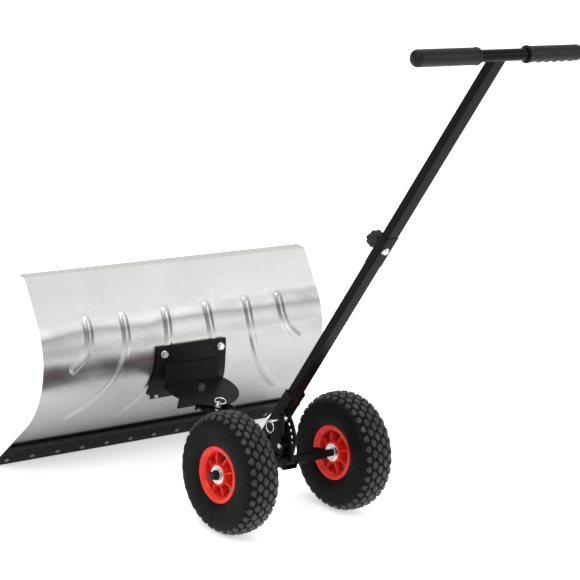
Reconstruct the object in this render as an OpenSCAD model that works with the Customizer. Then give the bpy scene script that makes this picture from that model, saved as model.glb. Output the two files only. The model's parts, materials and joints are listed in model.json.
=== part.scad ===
// Wheeled snow shovel: a curved steel blade that swivels on a wheeled push frame with a tilting T handle.
// Millimetres. X runs along the axle to the right, Y points in the push direction, Z is up.
// The origin is on the ground, at the centre of the whole object's footprint.

/* [Wheels] */
// Outside diameter of a tyre
wheel_d = 254; // [220:2:300]
// Width of a tyre
tyre_w = 83; // [60:1:95]
// Distance between the two wheels' middle planes
track = 306; // [290:2:360]
// Diameter of a rim's visible flange
rim_flange_d = 118; // [104:1:130]
// Distance of a rim's face from the wheel's middle plane
rim_half_w = 34; // [30:1:37]
// Depth of the tread grooves
tread_depth = 4; // [2:0.5:6]
// Tread blocks round a tyre
tread_blocks = 34; // [24:1:40]
// Ribs on each side of a rim
rim_ribs = 8; // [5:1:10]

/* [Axle] */
// Diameter of the axle's journals inside the bearings
journal_d = 12.7; // [10:0.1:14]
// Diameter of the axle's shoulder beside the wheel
shoulder_d = 16; // [14.8:0.1:17]
// Diameter of the axle's middle
axle_d = 20; // [18:0.5:24]
// Outside diameter of a wheel bearing
bearing_d = 38; // [34:1:42]
// Width of a wheel bearing
bearing_w = 12; // [10:1:14]

/* [Push beam] */
// Width of the beam's section
beam_w = 36; // [30:1:42]
// Height of the beam's section
beam_h = 18; // [16:1:22]
// Wall of the beam
beam_wall = 2; // [1.5:0.5:3]
// Slope of the beam, rising towards the blade
beam_pitch = 9.3; // [6:0.1:12]
// Distance along the beam from the axle to the swivel bolt
swivel_reach = 313; // [290:1:340]
// Drop of the beam's middle line below the axle
beam_drop = 3.9; // [2:0.1:5]

/* [Blade swivel] */
// Radius of the swivel disc
disc_r = 84; // [76:1:90]
// Thickness of the swivel disc and the index plate
swivel_plate_t = 4; // [3:0.5:5]
// Radius of the circle that the blade pin locks on
blade_index_r = 90; // [86:1:92]
// Angle between two index notches of the blade
blade_index_step = 12.5; // [9:0.5:14]
// Angle of the blade pin from the beam's line, to the left
blade_pin_lead = 13; // [8:1:16]
// Diameter of the swivel bolt
swivel_bolt_d = 8; // [6:1:12]
// Radius of the plastic washer between the plates
thrust_washer_r = 30; // [26:0.5:30]
// Radius of the round middle of the index plate
index_boss_r = 22; // [18:1:28]
// Distance along the beam from the swivel bolt to the mounting plate
bracket_reach = 47; // [44:0.5:60]

/* [Blade] */
// Width of the blade
blade_w = 760; // [600:5:900]
// Thickness of the blade's sheet
sheet_t = 1.5; // [1:0.1:2.5]
// Slope of the blade's straight lower part
lower_slope = 45.6; // [42:0.2:49]
// Length of the straight lower part, down to the ground
lower_len = 170; // [150:1:190]
// Radius of the blade's curved part
curve_r = 184; // [170:1:200]
// Slope of the straight upper part
upper_slope = 55; // [46:0.1:60]
// Length of the straight upper part
upper_len = 102; // [60:1:120]
// Depth of the lip along the top edge
lip_len = 25; // [15:1:32]
// Height of the pressed ribs
rib_h = 4; // [2:0.5:6]
// Width of the pressed ribs
rib_w = 20; // [12:1:26]

/* [Scraper strip] */
// Height of the strip along the blade
strip_h = 94; // [80:1:110]
// Thickness of the strip
strip_t = 4; // [3:0.5:6]
// Length of strip below the sheet's edge
strip_drop = 14; // [8:1:20]
// Distance of the last strip screw from the blade's end
screw_margin = 20.85; // [14:0.05:40]
// Number of strip screws
screw_count = 12; // [8:1:12]

/* [Mounting plate] */
// Width of the plate at its top, on the back of the blade
mount_w = 186; // [170:2:220]
// Width of the plate at its lower corners
mount_low_w = 209; // [186:1:230]
// Height at which the plate ends below
mount_low_z = 157.5; // [150:0.5:165]
// Height at which the plate ends above
mount_high_z = 284; // [276:1:300]
// Thickness of the plate
mount_t = 3; // [2:0.5:4]
// Width of the swivel bracket's upright leg
bracket_w = 146; // [120:2:160]
// Height of the swivel bracket's upright leg
bracket_h = 44; // [36:1:52]
// Lean of the leg, forwards over its height
bracket_lean = 16; // [12:0.5:20]
// Width of the brace under the disc
brace_w = 54; // [40:1:70]
// Depth of the brace below the beam's middle line
brace_drop = 44; // [30:1:50]

/* [Handle] */
// Distance from the tilt bolt to the crossbar
handle_len = 1041; // [900:1:1150]
// Pitch of the handle above the horizontal
handle_pitch = 59.5; // [56:0.1:62]
// Width of the handle tube, across
tube_w = 30; // [28:0.5:32]
// Depth of the handle tube, front to back
tube_d = 18; // [14:0.5:20]
// Wall of the tubes
tube_wall = 1.5; // [1:0.1:2]
// Distance from the tilt bolt to the clamp knob
knob_at = 553; // [480:1:600]
// Diameter of the clamp knob
knob_d = 36; // [24:1:40]
// Length of the clamp knob
knob_l = 26; // [22:1:32]
// Diameter of the clamp bolt
clamp_bolt_d = 8; // [6:0.5:8]
// Length of the sleeve that joins the two tubes
sleeve_len = 78; // [60:1:90]

/* [Crossbar] */
// Diameter of the crossbar
bar_d = 22.4; // [20:0.2:25]
// Outside diameter of the grips
grip_d = 33; // [30:0.5:36]
// Distance between the grips' outer ends
bar_span = 425; // [400:1:500]
// Distance from the middle to the left grip
left_grip_gap = 56; // [36:1:80]
// Distance from the middle to the right grip
right_grip_gap = 67; // [36:1:80]

/* [Tilt lock] */
// Horizontal distance from the axle to the tilt bolt
tilt_y = 66; // [60:1:72]
// Height of the tilt bolt
tilt_z = 161; // [158:1:166]
// Radius of the circle of index holes
tilt_index_r = 75; // [72:1:78]
// Outer radius of the quadrant
quadrant_r = 87; // [84:1:90]
// Thickness of the quadrant
quadrant_t = 5; // [4:0.5:6]
// Angle between two index holes
tilt_index_step = 10.2; // [9:0.1:11]
// Angle of the handle pin from the handle, about the tilt bolt
tilt_pin_lead = 12.5; // [11:0.1:14]
// Diameter of the tilt bolt
tilt_bolt_d = 10; // [8:1:12]
// Thickness of the handle's cheeks
cheek_t = 4; // [3:0.5:5]
// Diameter of the index pins
pin_d = 8; // [6:0.5:8]

/* [Clearances] */
// Radial clearance of a running fit
run_fit = 0.05; // [0.02:0.01:0.1]
// Gap between pieces that move past each other
free_gap = 0.4; // [0.3:0.1:0.8]

/* [Hidden] */
$fn = 48;
eps = 0.01;
pair = [-1, 1];

// ---- places worked out from the sizes above ----
axle_z = wheel_d / 2;
lower_dir = [cos(lower_slope), -sin(lower_slope)];
curve_z = lower_len * sin(lower_slope) + curve_r * cos(lower_slope);
plate_front = swivel_reach + bracket_reach + curve_r + rib_h + mount_t;
curve_y = (plate_front - (curve_z - axle_z + beam_drop) * sin(beam_pitch)) / cos(beam_pitch);
curve_c = [curve_y, curve_z];
curve_start = curve_c - curve_r * [sin(lower_slope), cos(lower_slope)];
blade_back = curve_start + lower_len * lower_dir;
blade_reach = blade_back[0];
curve_from = 90 + upper_slope;
curve_to = 270 - lower_slope;
curve_end = curve_c + curve_r * [cos(curve_from), sin(curve_from)];
blade_top = curve_end + upper_len * [cos(upper_slope), sin(upper_slope)];
handle_dir = [-cos(handle_pitch), sin(handle_pitch)];
bar_y = tilt_y + handle_len * handle_dir[0];
bar_z = tilt_z + handle_len * handle_dir[1];
rear_y = bar_y - grip_d / 2;
front_y = blade_reach;
axle_y = -(front_y + rear_y) / 2;

// ---- frames that the pieces are drawn in ----
// Drawn about the axle's place on the ground, moved to the origin of the whole
module on_ground() { translate([0, axle_y, 0]) children(); }
// Local Y runs up the beam from the axle, local Z is square to the beam
module on_beam() { on_ground() translate([0, 0, axle_z - beam_drop]) rotate([beam_pitch, 0, 0]) children(); }
// Local Z is the swivel's axis, local zero is the beam's middle line
module on_swivel() { on_beam() translate([0, swivel_reach, 0]) children(); }
// Local Z runs up the handle from the tilt bolt, local Y is the handle's front
module on_handle() {
    on_ground() translate([0, tilt_y, tilt_z]) rotate([90 - handle_pitch, 0, 0]) children();
}
// An outline drawn in Y and Z, as thick as t in X, centred on x
module in_yz(t, x = 0) {
    translate([x, 0, 0]) rotate([90, 0, 90]) linear_extrude(t, center = true) children();
}
// A round bar along X
module bar_x(r, l, x = 0) { translate([x, 0, 0]) rotate([0, 90, 0]) cylinder(r = r, h = l, center = true); }
// A ring along X
module ring_x(r_out, r_in, l, x = 0) {
    difference() {
        bar_x(r_out, l, x);
        bar_x(r_in, l + 2, x);
    }
}
// A rectangle with round corners, from exact arcs
module round_rect(w, h, r) {
    square([w - 2 * r, h], center = true);
    square([w, h - 2 * r], center = true);
    for (sx = pair, sy = pair) translate([sx * (w / 2 - r), sy * (h / 2 - r)]) circle(r);
}
// A hexagon head or nut, across flats f, standing up from z = 0
module hex_head(f, h) { cylinder(d = f / cos(30), h = h, $fn = 6); }

// ---- swivel stack heights above the beam's middle line ----
index_z = beam_h / 2;
washer_z = index_z + swivel_plate_t;
washer_t = 4;
disc_z = washer_z + washer_t + run_fit;
disc_top = disc_z + swivel_plate_t;
bolt_head_h = 0.7 * swivel_bolt_d;
brace_t = 4;

// ================= push frame =================
beam_rear = -12;
beam_front = swivel_reach + 22;
module push_beam() {
    color("#1b1b1d")
    difference() {
        on_beam() difference() {
            translate([-beam_w / 2, beam_rear, -beam_h / 2]) cube([beam_w, beam_front - beam_rear, beam_h]);
            translate([-beam_w / 2 + beam_wall, beam_rear - 1, -beam_h / 2 + beam_wall])
                cube([beam_w - 2 * beam_wall, beam_front - beam_rear + 2, beam_h - 2 * beam_wall]);
            translate([0, swivel_reach, -beam_h]) cylinder(d = swivel_bolt_d + 2 * run_fit, h = 2 * beam_h);
        }
        on_ground() translate([0, 0, axle_z]) bar_x(axle_d / 2, beam_w + 2);
    }
}

bearing_gap = 20;
journal_in = track / 2 - bearing_w - bearing_gap;
journal_out = track / 2 + bearing_w + bearing_gap;
shoulder_in = track / 2 - 53;
washer_thick = 2.5;
cap_len = 17;
cap_r = 8.5;
axle_end = journal_out + washer_thick + cap_len - 4;
module axle() {
    color("#26272a") on_ground() translate([0, 0, axle_z]) {
        bar_x(axle_d / 2, 2 * shoulder_in);
        for (s = pair) {
            bar_x(shoulder_d / 2, journal_in - free_gap - shoulder_in + eps,
                s * (journal_in - free_gap + shoulder_in - eps) / 2);
            bar_x(journal_d / 2, axle_end - journal_in + free_gap + eps,
                s * (axle_end + journal_in - free_gap - eps) / 2);
        }
    }
}

// A bolt that clamps the two cheeks to the quadrant, behind the tilt bolt
cheek_bolt_at = [-53, -3];
cheek_bolt_d = 6;
module cheek_bolt() {
    outer = tilt_cheek_x + tilt_cheek_t / 2;
    color("#d5d7da") on_ground() translate([0, tilt_y + cheek_bolt_at[0], tilt_z + cheek_bolt_at[1]]) {
        bar_x(cheek_bolt_d / 2, 2 * outer + 7, 3);
        bar_x(cheek_bolt_d * 0.85, 4, -outer - 2);
        translate([outer, 0, 0]) rotate([0, 90, 0]) hex_head(10, 4);
    }
}
handle_cheek_x = tube_w / 2 + cheek_t / 2;
cheek_out = tube_w / 2 + cheek_t;
bracket_t = 3.5;
// The left gusset is low, for the handle pin's ring to pass over it
low_gusset_rise = 15.5;
high_gusset_rise = 30;
gusset_rise = [low_gusset_rise, high_gusset_rise];
gusset_t = 4;
gusset_tail = 3;
gusset_in = cheek_out + bracket_t + 1;
module axle_gussets() {
    color("#1b1b1d") on_ground() translate([0, 0, axle_z]) for (i = [0, 1]) difference() {
        rotate([90, 0, 0]) linear_extrude(gusset_t, center = true)
            polygon([[pair[i] * gusset_in, 0], [pair[i] * gusset_in, gusset_rise[i]],
                [pair[i] * shoulder_in, axle_d / 2 + gusset_tail], [pair[i] * shoulder_in, 0]]);
        bar_x(axle_d / 2, track);
    }
}

// The quadrant stands on the beam, round the tilt bolt
module quadrant_outline() {
    difference() {
        union() {
            intersection() {
                circle(quadrant_r, $fn = 96);
                polygon([[0, 0], 2 * quadrant_r * dir_of(quadrant_from), 2 * quadrant_r * dir_of(160),
                    2 * quadrant_r * dir_of(204), 30 * dir_of(-90)]);
            }
            circle(boss_r);
            polygon([[0, 0], [-60, -40], [boss_r, -40], [boss_r, 0]]);
        }
        circle(d = tilt_bolt_d + 2 * run_fit);
        translate(cheek_bolt_at) circle(d = cheek_bolt_d);
        for (i = [-1:4]) translate(tilt_index_r * dir_of(tilt_pin_angle + i * tilt_index_step))
            circle(d = pin_d + 2 * free_gap);
    }
}
function dir_of(a) = [cos(a), sin(a)];
boss_r = 15;
tilt_pin_angle = 180 - handle_pitch + tilt_pin_lead;
quadrant_from = tilt_pin_angle - tilt_index_step - 8;
// What lies above the beam's top face and ahead of its rear end, round the axle
module above_beam() {
    difference() {
        on_beam() translate([-60, beam_rear + 1, beam_h / 2]) cube([120, 200, 200]);
        on_ground() translate([0, 0, axle_z]) bar_x(axle_d / 2, track);
    }
}
module quadrant_plate() {
    color("#1f1f21") intersection() {
        on_ground() translate([0, tilt_y, tilt_z]) in_yz(quadrant_t) quadrant_outline();
        above_beam();
    }
}

tilt_cheek_x = 11;
tilt_cheek_t = 3;
module tilt_cheeks() {
    color("#1b1b1d") intersection() {
        on_ground() translate([0, tilt_y, tilt_z]) for (s = pair) in_yz(tilt_cheek_t, s * tilt_cheek_x)
            difference() {
                union() {
                    circle(boss_r);
                    polygon([[-boss_r + 4, 9], [-46, 9], [-61, 2], [-61, -40], [boss_r + 8, -40],
                        [boss_r - 2, 4]]);
                }
                circle(d = tilt_bolt_d + 2 * run_fit);
                translate(cheek_bolt_at) circle(d = cheek_bolt_d);
            }
        above_beam();
    }
}

tilt_head_h = 6.5;
tilt_nut_h = 8;
module tilt_bolt() {
    color("#c9ccd0") on_ground() translate([0, tilt_y, tilt_z]) {
        bar_x(tilt_bolt_d / 2, 2 * cheek_out + tilt_nut_h + 6, (tilt_nut_h + 6) / 2);
        translate([-cheek_out - free_gap - tilt_head_h, 0, 0]) rotate([0, 90, 0])
            hex_head(1.7 * tilt_bolt_d, tilt_head_h);
    }
}
module tilt_nut() {
    color("#c9ccd0") on_ground() translate([cheek_out + free_gap, tilt_y, tilt_z]) rotate([0, 90, 0]) difference() {
        hex_head(1.7 * tilt_bolt_d, tilt_nut_h);
        translate([0, 0, -1]) cylinder(d = tilt_bolt_d, h = tilt_nut_h + 2);
    }
}
module tilt_spacers() {
    outer_from = tilt_cheek_x + tilt_cheek_t / 2;
    inner_to = tilt_cheek_x - tilt_cheek_t / 2;
    color("#d8d8d2") on_ground() translate([0, tilt_y, tilt_z]) for (s = pair) {
        ring_x(9, tilt_bolt_d / 2 + run_fit, tube_w / 2 - free_gap - outer_from,
            s * (tube_w / 2 - free_gap + outer_from) / 2);
        ring_x(9, tilt_bolt_d / 2 + run_fit, inner_to - quadrant_t / 2, s * (inner_to + quadrant_t / 2) / 2);
    }
}

// ================= blade swivel =================
index_plate_r = blade_index_r + 3;
index_margin = 6;
blade_pin_angle = -90 - blade_pin_lead;
module index_plate() {
    half = 2 * blade_index_step + index_margin;
    color("#1f1f21") on_swivel() translate([0, 0, index_z]) linear_extrude(swivel_plate_t) difference() {
        union() {
            intersection() {
                circle(index_plate_r, $fn = 96);
                polygon([[0, 0], 2 * index_plate_r * dir_of(blade_pin_angle - half),
                    2 * index_plate_r * dir_of(blade_pin_angle), 2 * index_plate_r * dir_of(blade_pin_angle + half)]);
            }
            circle(index_boss_r);
        }
        circle(d = swivel_bolt_d + 2 * run_fit);
        for (i = [-2:2]) translate(blade_index_r * dir_of(blade_pin_angle + i * blade_index_step))
            circle(d = pin_d + 2 * free_gap);
    }
}
module thrust_washer() {
    color("#e6e3d8") on_swivel() translate([0, 0, washer_z]) difference() {
        cylinder(r = thrust_washer_r, h = washer_t);
        translate([0, 0, -1]) cylinder(d = swivel_bolt_d + 2 * run_fit, h = washer_t + 2);
    }
}
swivel_nut_h = 0.8 * swivel_bolt_d;
swivel_nut_z = -beam_h / 2 - run_fit - brace_t - free_gap - swivel_nut_h;
module swivel_bolt() {
    color("#c9ccd0") on_swivel() {
        translate([0, 0, swivel_nut_z - 3]) cylinder(d = swivel_bolt_d, h = disc_top + 3 - swivel_nut_z + 1);
        translate([0, 0, disc_top + free_gap]) hex_head(1.625 * swivel_bolt_d, bolt_head_h);
    }
}
module swivel_nut() {
    color("#c9ccd0") on_swivel() translate([0, 0, swivel_nut_z]) difference() {
        hex_head(1.625 * swivel_bolt_d, swivel_nut_h);
        translate([0, 0, -1]) cylinder(d = swivel_bolt_d, h = swivel_nut_h + 2);
    }
}

// ================= axle ends =================
axle_washer_r = 14;
module axle_washers() {
    color("#c9ccd0") on_ground() translate([0, 0, axle_z]) for (s = pair)
        ring_x(axle_washer_r, journal_d / 2, washer_thick, s * (journal_out + free_gap + washer_thick / 2));
}
module axle_caps() {
    from = journal_out + free_gap + washer_thick;
    color("#1a1a1b") on_ground() translate([0, 0, axle_z]) for (s = pair) difference() {
        rotate([0, s * 90, 0]) translate([0, 0, from]) union() {
            cylinder(r = cap_r, h = cap_len - 4);
            translate([0, 0, cap_len - 4]) cylinder(r1 = cap_r, r2 = cap_r - 3, h = 4);
            cylinder(r = cap_r + 2.5, h = 2);
        }
        bar_x(journal_d / 2, 2 * axle_end);
    }
}

// ================= wheels =================
rim_flange_r = rim_flange_d / 2;
bead_r = rim_flange_r - 8;
tyre_belly_r = (axle_z + bead_r) / 2 - 1;
tyre_wall = 5;
hub_r = bearing_d / 2 + 4.5;
web_x = 10;
// The tyre's outline by angle: an oval that is squarer than an ellipse, from bead to bead over the crown
function oval(a, half_w, half_h, n) = [
    half_w * sign(cos(a)) * pow(abs(cos(a)), 2 / n), half_h * sign(sin(a)) * pow(abs(sin(a)), 2 / n)];
module tyre_outline() {
    out_h = axle_z - tyre_belly_r;
    in_h = out_h - tyre_wall - tread_depth;
    difference() {
        polygon([for (i = [0:35]) let (p = oval(-90 + i * 10, tyre_w / 2, out_h, 2.5)) [tyre_belly_r + p[1], p[0]]]);
        polygon([for (i = [0:23]) let (p = oval(-90 + i * 15, tyre_w / 2 - tyre_wall, in_h, 2.3))
            [tyre_belly_r - 1 + p[1], p[0]]]);
        translate([0, -tyre_w]) square([bead_r, 2 * tyre_w]);
        translate([0, -rim_half_w + 6]) square([bead_r + 11, 2 * rim_half_w - 12]);
        translate([0, rim_half_w - 3.5]) square([rim_flange_r + 0.5, tyre_w]);
        translate([0, -tyre_w - rim_half_w + 3.5]) square([rim_flange_r + 0.5, tyre_w]);
        for (s = pair) translate([axle_z - tread_depth, s * tyre_w / 6 - 2]) square([tread_depth + 1, 4]);
    }
}
module tyre_body() {
    difference() {
        rotate([0, 90, 0]) rotate_extrude($fn = 120) tyre_outline();
        for (i = [0:tread_blocks - 1]) rotate([(i + 0.5) * 360 / tread_blocks, 0, 0])
            translate([0, 0, axle_z + 20 - tread_depth]) cube([tyre_w + 2, 5, 40], center = true);
    }
}
tube_r = 26;
module inner_tube_body() {
    rotate([0, 90, 0]) rotate_extrude($fn = 96) translate([tyre_belly_r + 2, 0]) circle(tube_r, $fn = 36);
    rotate([valve_turn, 0, 0]) translate([valve_x, 0, bead_r - 16]) cylinder(d = 8, h = tyre_belly_r - bead_r);
}
valve_turn = 0;
valve_x = -18;
// One half of a rim, from the middle plane out to the face, drawn for the side where X is positive
module rim_half() {
    difference() {
        union() {
            rotate([0, 90, 0]) rotate_extrude($fn = 96) polygon([
                [bearing_d / 2 - 7, 0], [bead_r - 4, 0], [bead_r - 0.2, 4], [bead_r - 0.2, rim_half_w - 4],
                [rim_flange_r - 1.5, rim_half_w - 3.2], [rim_flange_r, rim_half_w - 1.6],
                [rim_flange_r - 1, rim_half_w - 0.3], [rim_flange_r - 3, rim_half_w],
                [bead_r - 3, rim_half_w - 3.5], [bead_r - 7, rim_half_w - 8], [bead_r - 7, web_x + 2],
                [hub_r, web_x], [hub_r, bearing_gap + bearing_w - 2], [hub_r - 1.5, bearing_gap + bearing_w],
                [bearing_d / 2, bearing_gap + bearing_w], [bearing_d / 2, bearing_gap],
                [bearing_d / 2 - 7, bearing_gap]]);
            for (i = [0:rim_ribs - 1]) rotate([(i + 0.5) * 360 / rim_ribs, 0, 0])
                translate([web_x - 2, -1.75, hub_r - 1]) cube([rim_half_w - 8 - web_x, 3.5, bead_r - hub_r - 5]);
        }
        for (i = [0:3]) rotate([i * 90 + 45, 0, 0]) translate([-1, 0, screw_r])
            rotate([0, 90, 0]) cylinder(d = 5.2, h = rim_half_w);
    }
}
screw_r = (hub_r + bead_r) / 2 - 1.5;
module rim_outer_side(s) {
    difference() {
        mirror([s < 0 ? 1 : 0, 0, 0]) rim_half();
        if (s < 0) rotate([valve_turn, 0, 0]) translate([valve_x, 0, bead_r - 17]) cylinder(d = 9, h = 40);
    }
}
module bearing_pair() {
    for (s = pair) {
        ring_x(bearing_d / 2, journal_d / 2 + run_fit, bearing_w, s * (bearing_gap + bearing_w / 2));
    }
}
module hub_sleeve_body() { ring_x(bearing_d / 2 - 9, journal_d / 2 + 0.5, 2 * bearing_gap); }
module rim_screw_set() {
    for (i = [0:3]) rotate([i * 90 + 45, 0, 0]) translate([0, 0, screw_r]) {
        bar_x(2.6, 2 * web_x + 6);
        bar_x(4.8, 4, -web_x - 4.5);
        translate([web_x + 2.5, 0, 0]) rotate([0, 90, 0]) hex_head(8, 4);
    }
}
module at_wheel(s) { on_ground() translate([s * track / 2, 0, axle_z]) children(); }
module left_tyre() { color("#222223") at_wheel(-1) tyre_body(); }
module left_inner_tube() { color("#2c2c2c") at_wheel(-1) inner_tube_body(); }
module left_rim_outer() { color("#d42a1c") at_wheel(-1) rim_outer_side(-1); }
module left_rim_inner() { color("#d42a1c") at_wheel(-1) rim_outer_side(1); }
module left_bearings() { color("#c9ccd0") at_wheel(-1) bearing_pair(); }
module left_hub_sleeve() { color("#8d9094") at_wheel(-1) hub_sleeve_body(); }
module left_rim_screws() { color("#c9ccd0") at_wheel(-1) rim_screw_set(); }
module right_tyre() { color("#222223") at_wheel(1) tyre_body(); }
module right_inner_tube() { color("#2c2c2c") at_wheel(1) inner_tube_body(); }
module right_rim_outer() { color("#d42a1c") at_wheel(1) rim_outer_side(1); }
module right_rim_inner() { color("#d42a1c") at_wheel(1) rim_outer_side(-1); }
module right_bearings() { color("#c9ccd0") at_wheel(1) bearing_pair(); }
module right_hub_sleeve() { color("#8d9094") at_wheel(1) hub_sleeve_body(); }
module right_rim_screws() { color("#c9ccd0") at_wheel(1) rim_screw_set(); }

// ================= blade =================
// Points along an arc about c, from angle a to angle b
function arc_points(c, r, a, b, n) = [for (i = [0:n]) c + r * dir_of(a + (b - a) * i / n)];
curve_facets = 42;
top_run = upper_len * dir_of(upper_slope);
// A band that follows the blade, between two distances behind the sheet's back
module blade_band(from, to) {
    low_run = lower_len * lower_dir;
    polygon(concat(
        [curve_c + (curve_r + to) * dir_of(curve_from) + top_run],
        arc_points(curve_c, curve_r + to, curve_from, curve_to, curve_facets),
        [curve_c + (curve_r + to) * dir_of(curve_to) + low_run],
        [curve_c + (curve_r + from) * dir_of(curve_to) + low_run],
        arc_points(curve_c, curve_r + from, curve_to, curve_from, curve_facets),
        [curve_c + (curve_r + from) * dir_of(curve_from) + top_run]));
}
lip_slope = 5;
// The sheet from the lip's edge, over the back and down to its lower edge, and up again along the front
module sheet_outline() {
    low_run = (lower_len - strip_drop) * lower_dir;
    lip_end = blade_top + lip_len * dir_of(lip_slope);
    inner_corner = sheet_t / cos((upper_slope - lip_slope) / 2) * dir_of((upper_slope + lip_slope) / 2 - 90);
    polygon(concat(
        [lip_end, blade_top],
        arc_points(curve_c, curve_r, curve_from, curve_to, curve_facets),
        [curve_start + low_run, curve_start + low_run + sheet_t * dir_of(90 - lower_slope)],
        arc_points(curve_c, curve_r - sheet_t, curve_to, curve_from, curve_facets),
        [blade_top + inner_corner, lip_end + sheet_t * dir_of(lip_slope - 90)]));
}
rib_top = curve_c[1] + 100;
middle_rib_r = 316;
// A rib's outline seen from behind: a straight run of a given length, a bend outwards and a short tail
module rib_outline(x, run, bend_r, turn, tail) {
    bend_c = [x + bend_r, rib_top - run];
    tail_end = bend_c + bend_r * dir_of(180 + turn) + tail * dir_of(270 + turn);
    polygon(concat(
        arc_points([x, rib_top], rib_w / 2, 0, 180, 12),
        arc_points(bend_c, bend_r + rib_w / 2, 180, 180 + turn, 14),
        arc_points(tail_end, rib_w / 2, 180 + turn, 360 + turn, 12),
        arc_points(bend_c, bend_r - rib_w / 2, 180 + turn, 180, 14)));
}
module rib_outlines() {
    rib_outline(0.343 * blade_w, 18, 80, 52, 18);
    rib_outline(0.22 * blade_w, 25, 200, 54, 48);
    rib_outline(0.074 * blade_w, 12, middle_rib_r, 43, 8);
}
module blade() {
    color("#c4c7c9") difference() {
        on_ground() {
            in_yz(blade_w) sheet_outline();
            intersection() {
                in_yz(blade_w) blade_band(-sheet_t / 2, rib_h);
                for (s = [0, 1]) mirror([s, 0, 0]) rotate([90, 0, 0]) linear_extrude(1500, center = true)
                    rib_outlines();
            }
        }
        on_ground() at_mount_bolts() cylinder(d = $d + hole_play, h = 30, center = true);
        on_lower_back() at_strip_screws() cylinder(d = strip_screw_d + hole_play, h = 4 * sheet_t, center = true);
    }
}
// Play of a bolt in its hole
hole_play = 0.4;

// Local zero is the lower end of the blade's back, local Y runs down along it, local Z stands off its front
module on_lower_back() {
    on_ground() translate([0, blade_back[0], blade_back[1]]) rotate([-lower_slope, 0, 0]) children();
}
band_t = 2;
band_h = 22;
// Thickness of the line of glue between the strip and the sheet
glue_line = 0.003;
module scraper_strip() {
    color("#161617") difference() {
        on_lower_back() difference() {
            union() {
                translate([-blade_w / 2, -strip_h, -strip_t]) cube([blade_w, strip_h + strip_t, strip_t - glue_line]);
                translate([-blade_w / 2, -strip_h, -strip_t - band_t]) cube([blade_w, band_h, band_t + eps]);
            }
            at_strip_screws() translate([0, 0, -strip_t - 1]) cylinder(d = strip_screw_d + hole_play, h = strip_t + 2);
        }
        on_ground() translate([-blade_w, 0, -50]) cube([2 * blade_w, 2 * blade_reach, 50]);
    }
}
strip_screw_up = 27;
strip_screw_d = 5.6;
screw_pitch = (blade_w - 2 * screw_margin) / (screw_count - 1);
module at_strip_screws() {
    for (i = [0:screw_count - 1]) translate([(i - (screw_count - 1) / 2) * screw_pitch, -strip_screw_up, 0])
        children();
}
module strip_screws() {
    color("#b9bcc0") on_lower_back() at_strip_screws() {
        translate([0, 0, -strip_t - 0.5]) cylinder(d = strip_screw_d, h = strip_t + sheet_t + 7);
        translate([0, 0, -strip_t - 3]) cylinder(d1 = 7, d2 = 12, h = 3);
    }
}
module strip_nuts() {
    color("#b9bcc0") on_lower_back() at_strip_screws() difference() {
        translate([0, 0, sheet_t]) hex_head(10, 4.5);
        cylinder(d = strip_screw_d, h = 10);
    }
}

plate_off = rib_h;
mount_step = 12;
mount_chamfer = 5;
mount_step_h = 16;
mount_flare_h = 44;
// The plate's outline seen from behind: it widens downwards and steps in near its lower edge
module mount_window() {
    low = mount_low_w / 2;
    foot = [[low, mount_step_h], [low - mount_step, mount_step_h], [low - mount_step - mount_chamfer, 0]];
    right = concat([[mount_w / 2, mount_high_z - mount_low_z],
        [mount_w / 2 + 1, mount_high_z - mount_low_z - mount_flare_h]], foot);
    translate([0, mount_low_z])
        polygon(concat(right, [for (i = [len(right) - 1:-1:0]) [-right[i][0], right[i][1]]]));
}
module mount_plate() {
    color("#161617") on_ground() difference() {
        intersection() {
            in_yz(mount_low_w + 2) blade_band(plate_off, plate_off + mount_t);
            rotate([90, 0, 0]) linear_extrude(1500, center = true) mount_window();
        }
        at_mount_bolts() cylinder(d = $d + hole_play, h = 30, center = true);
    }
}
// Across, height and diameter of the two kinds of bolt
mount_bolt_list = [[mount_w / 2 - 16.5, mount_high_z - 18.5, 8], [mount_w / 2 - 17.5, mount_low_z + 12, 4]];
// Local Z points backwards, square to the blade's back, at each bolt of the plate; $d is its diameter
module at_mount_bolts() {
    for (sx = pair, m = mount_bolt_list) let (a = 180 - asin((m[1] - curve_c[1]) / curve_r), $d = m[2])
        translate([sx * m[0], curve_c[0] + curve_r * cos(a), m[1]]) rotate([a - 90, 0, 0]) children();
}
module mount_bolts() {
    color("#c9ccd0") on_ground() at_mount_bolts() {
        translate([0, 0, -sheet_t - $d]) cylinder(d = $d, h = sheet_t + $d + plate_off + mount_t + 0.5);
        translate([0, 0, plate_off + mount_t]) cylinder(d = 2.1 * $d, h = 0.2 * $d);
        translate([0, 0, plate_off + mount_t + 0.2 * $d]) hex_head(1.625 * $d, 0.7 * $d);
    }
}
// Distance that keeps a flat nut off the hollow front face
nut_relief = 0.3;
module mount_nuts() {
    color("#c9ccd0") on_ground() at_mount_bolts() difference() {
        translate([0, 0, -sheet_t - nut_relief - 0.8 * $d]) hex_head(1.625 * $d, 0.8 * $d);
        translate([0, 0, -20]) cylinder(d = $d, h = 40);
    }
}

// The swivel bracket: a disc cut straight in front, and an upright leg that stands on it against the mounting plate
pin_body_d = 11;
pin_ear_r = 9;
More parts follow.
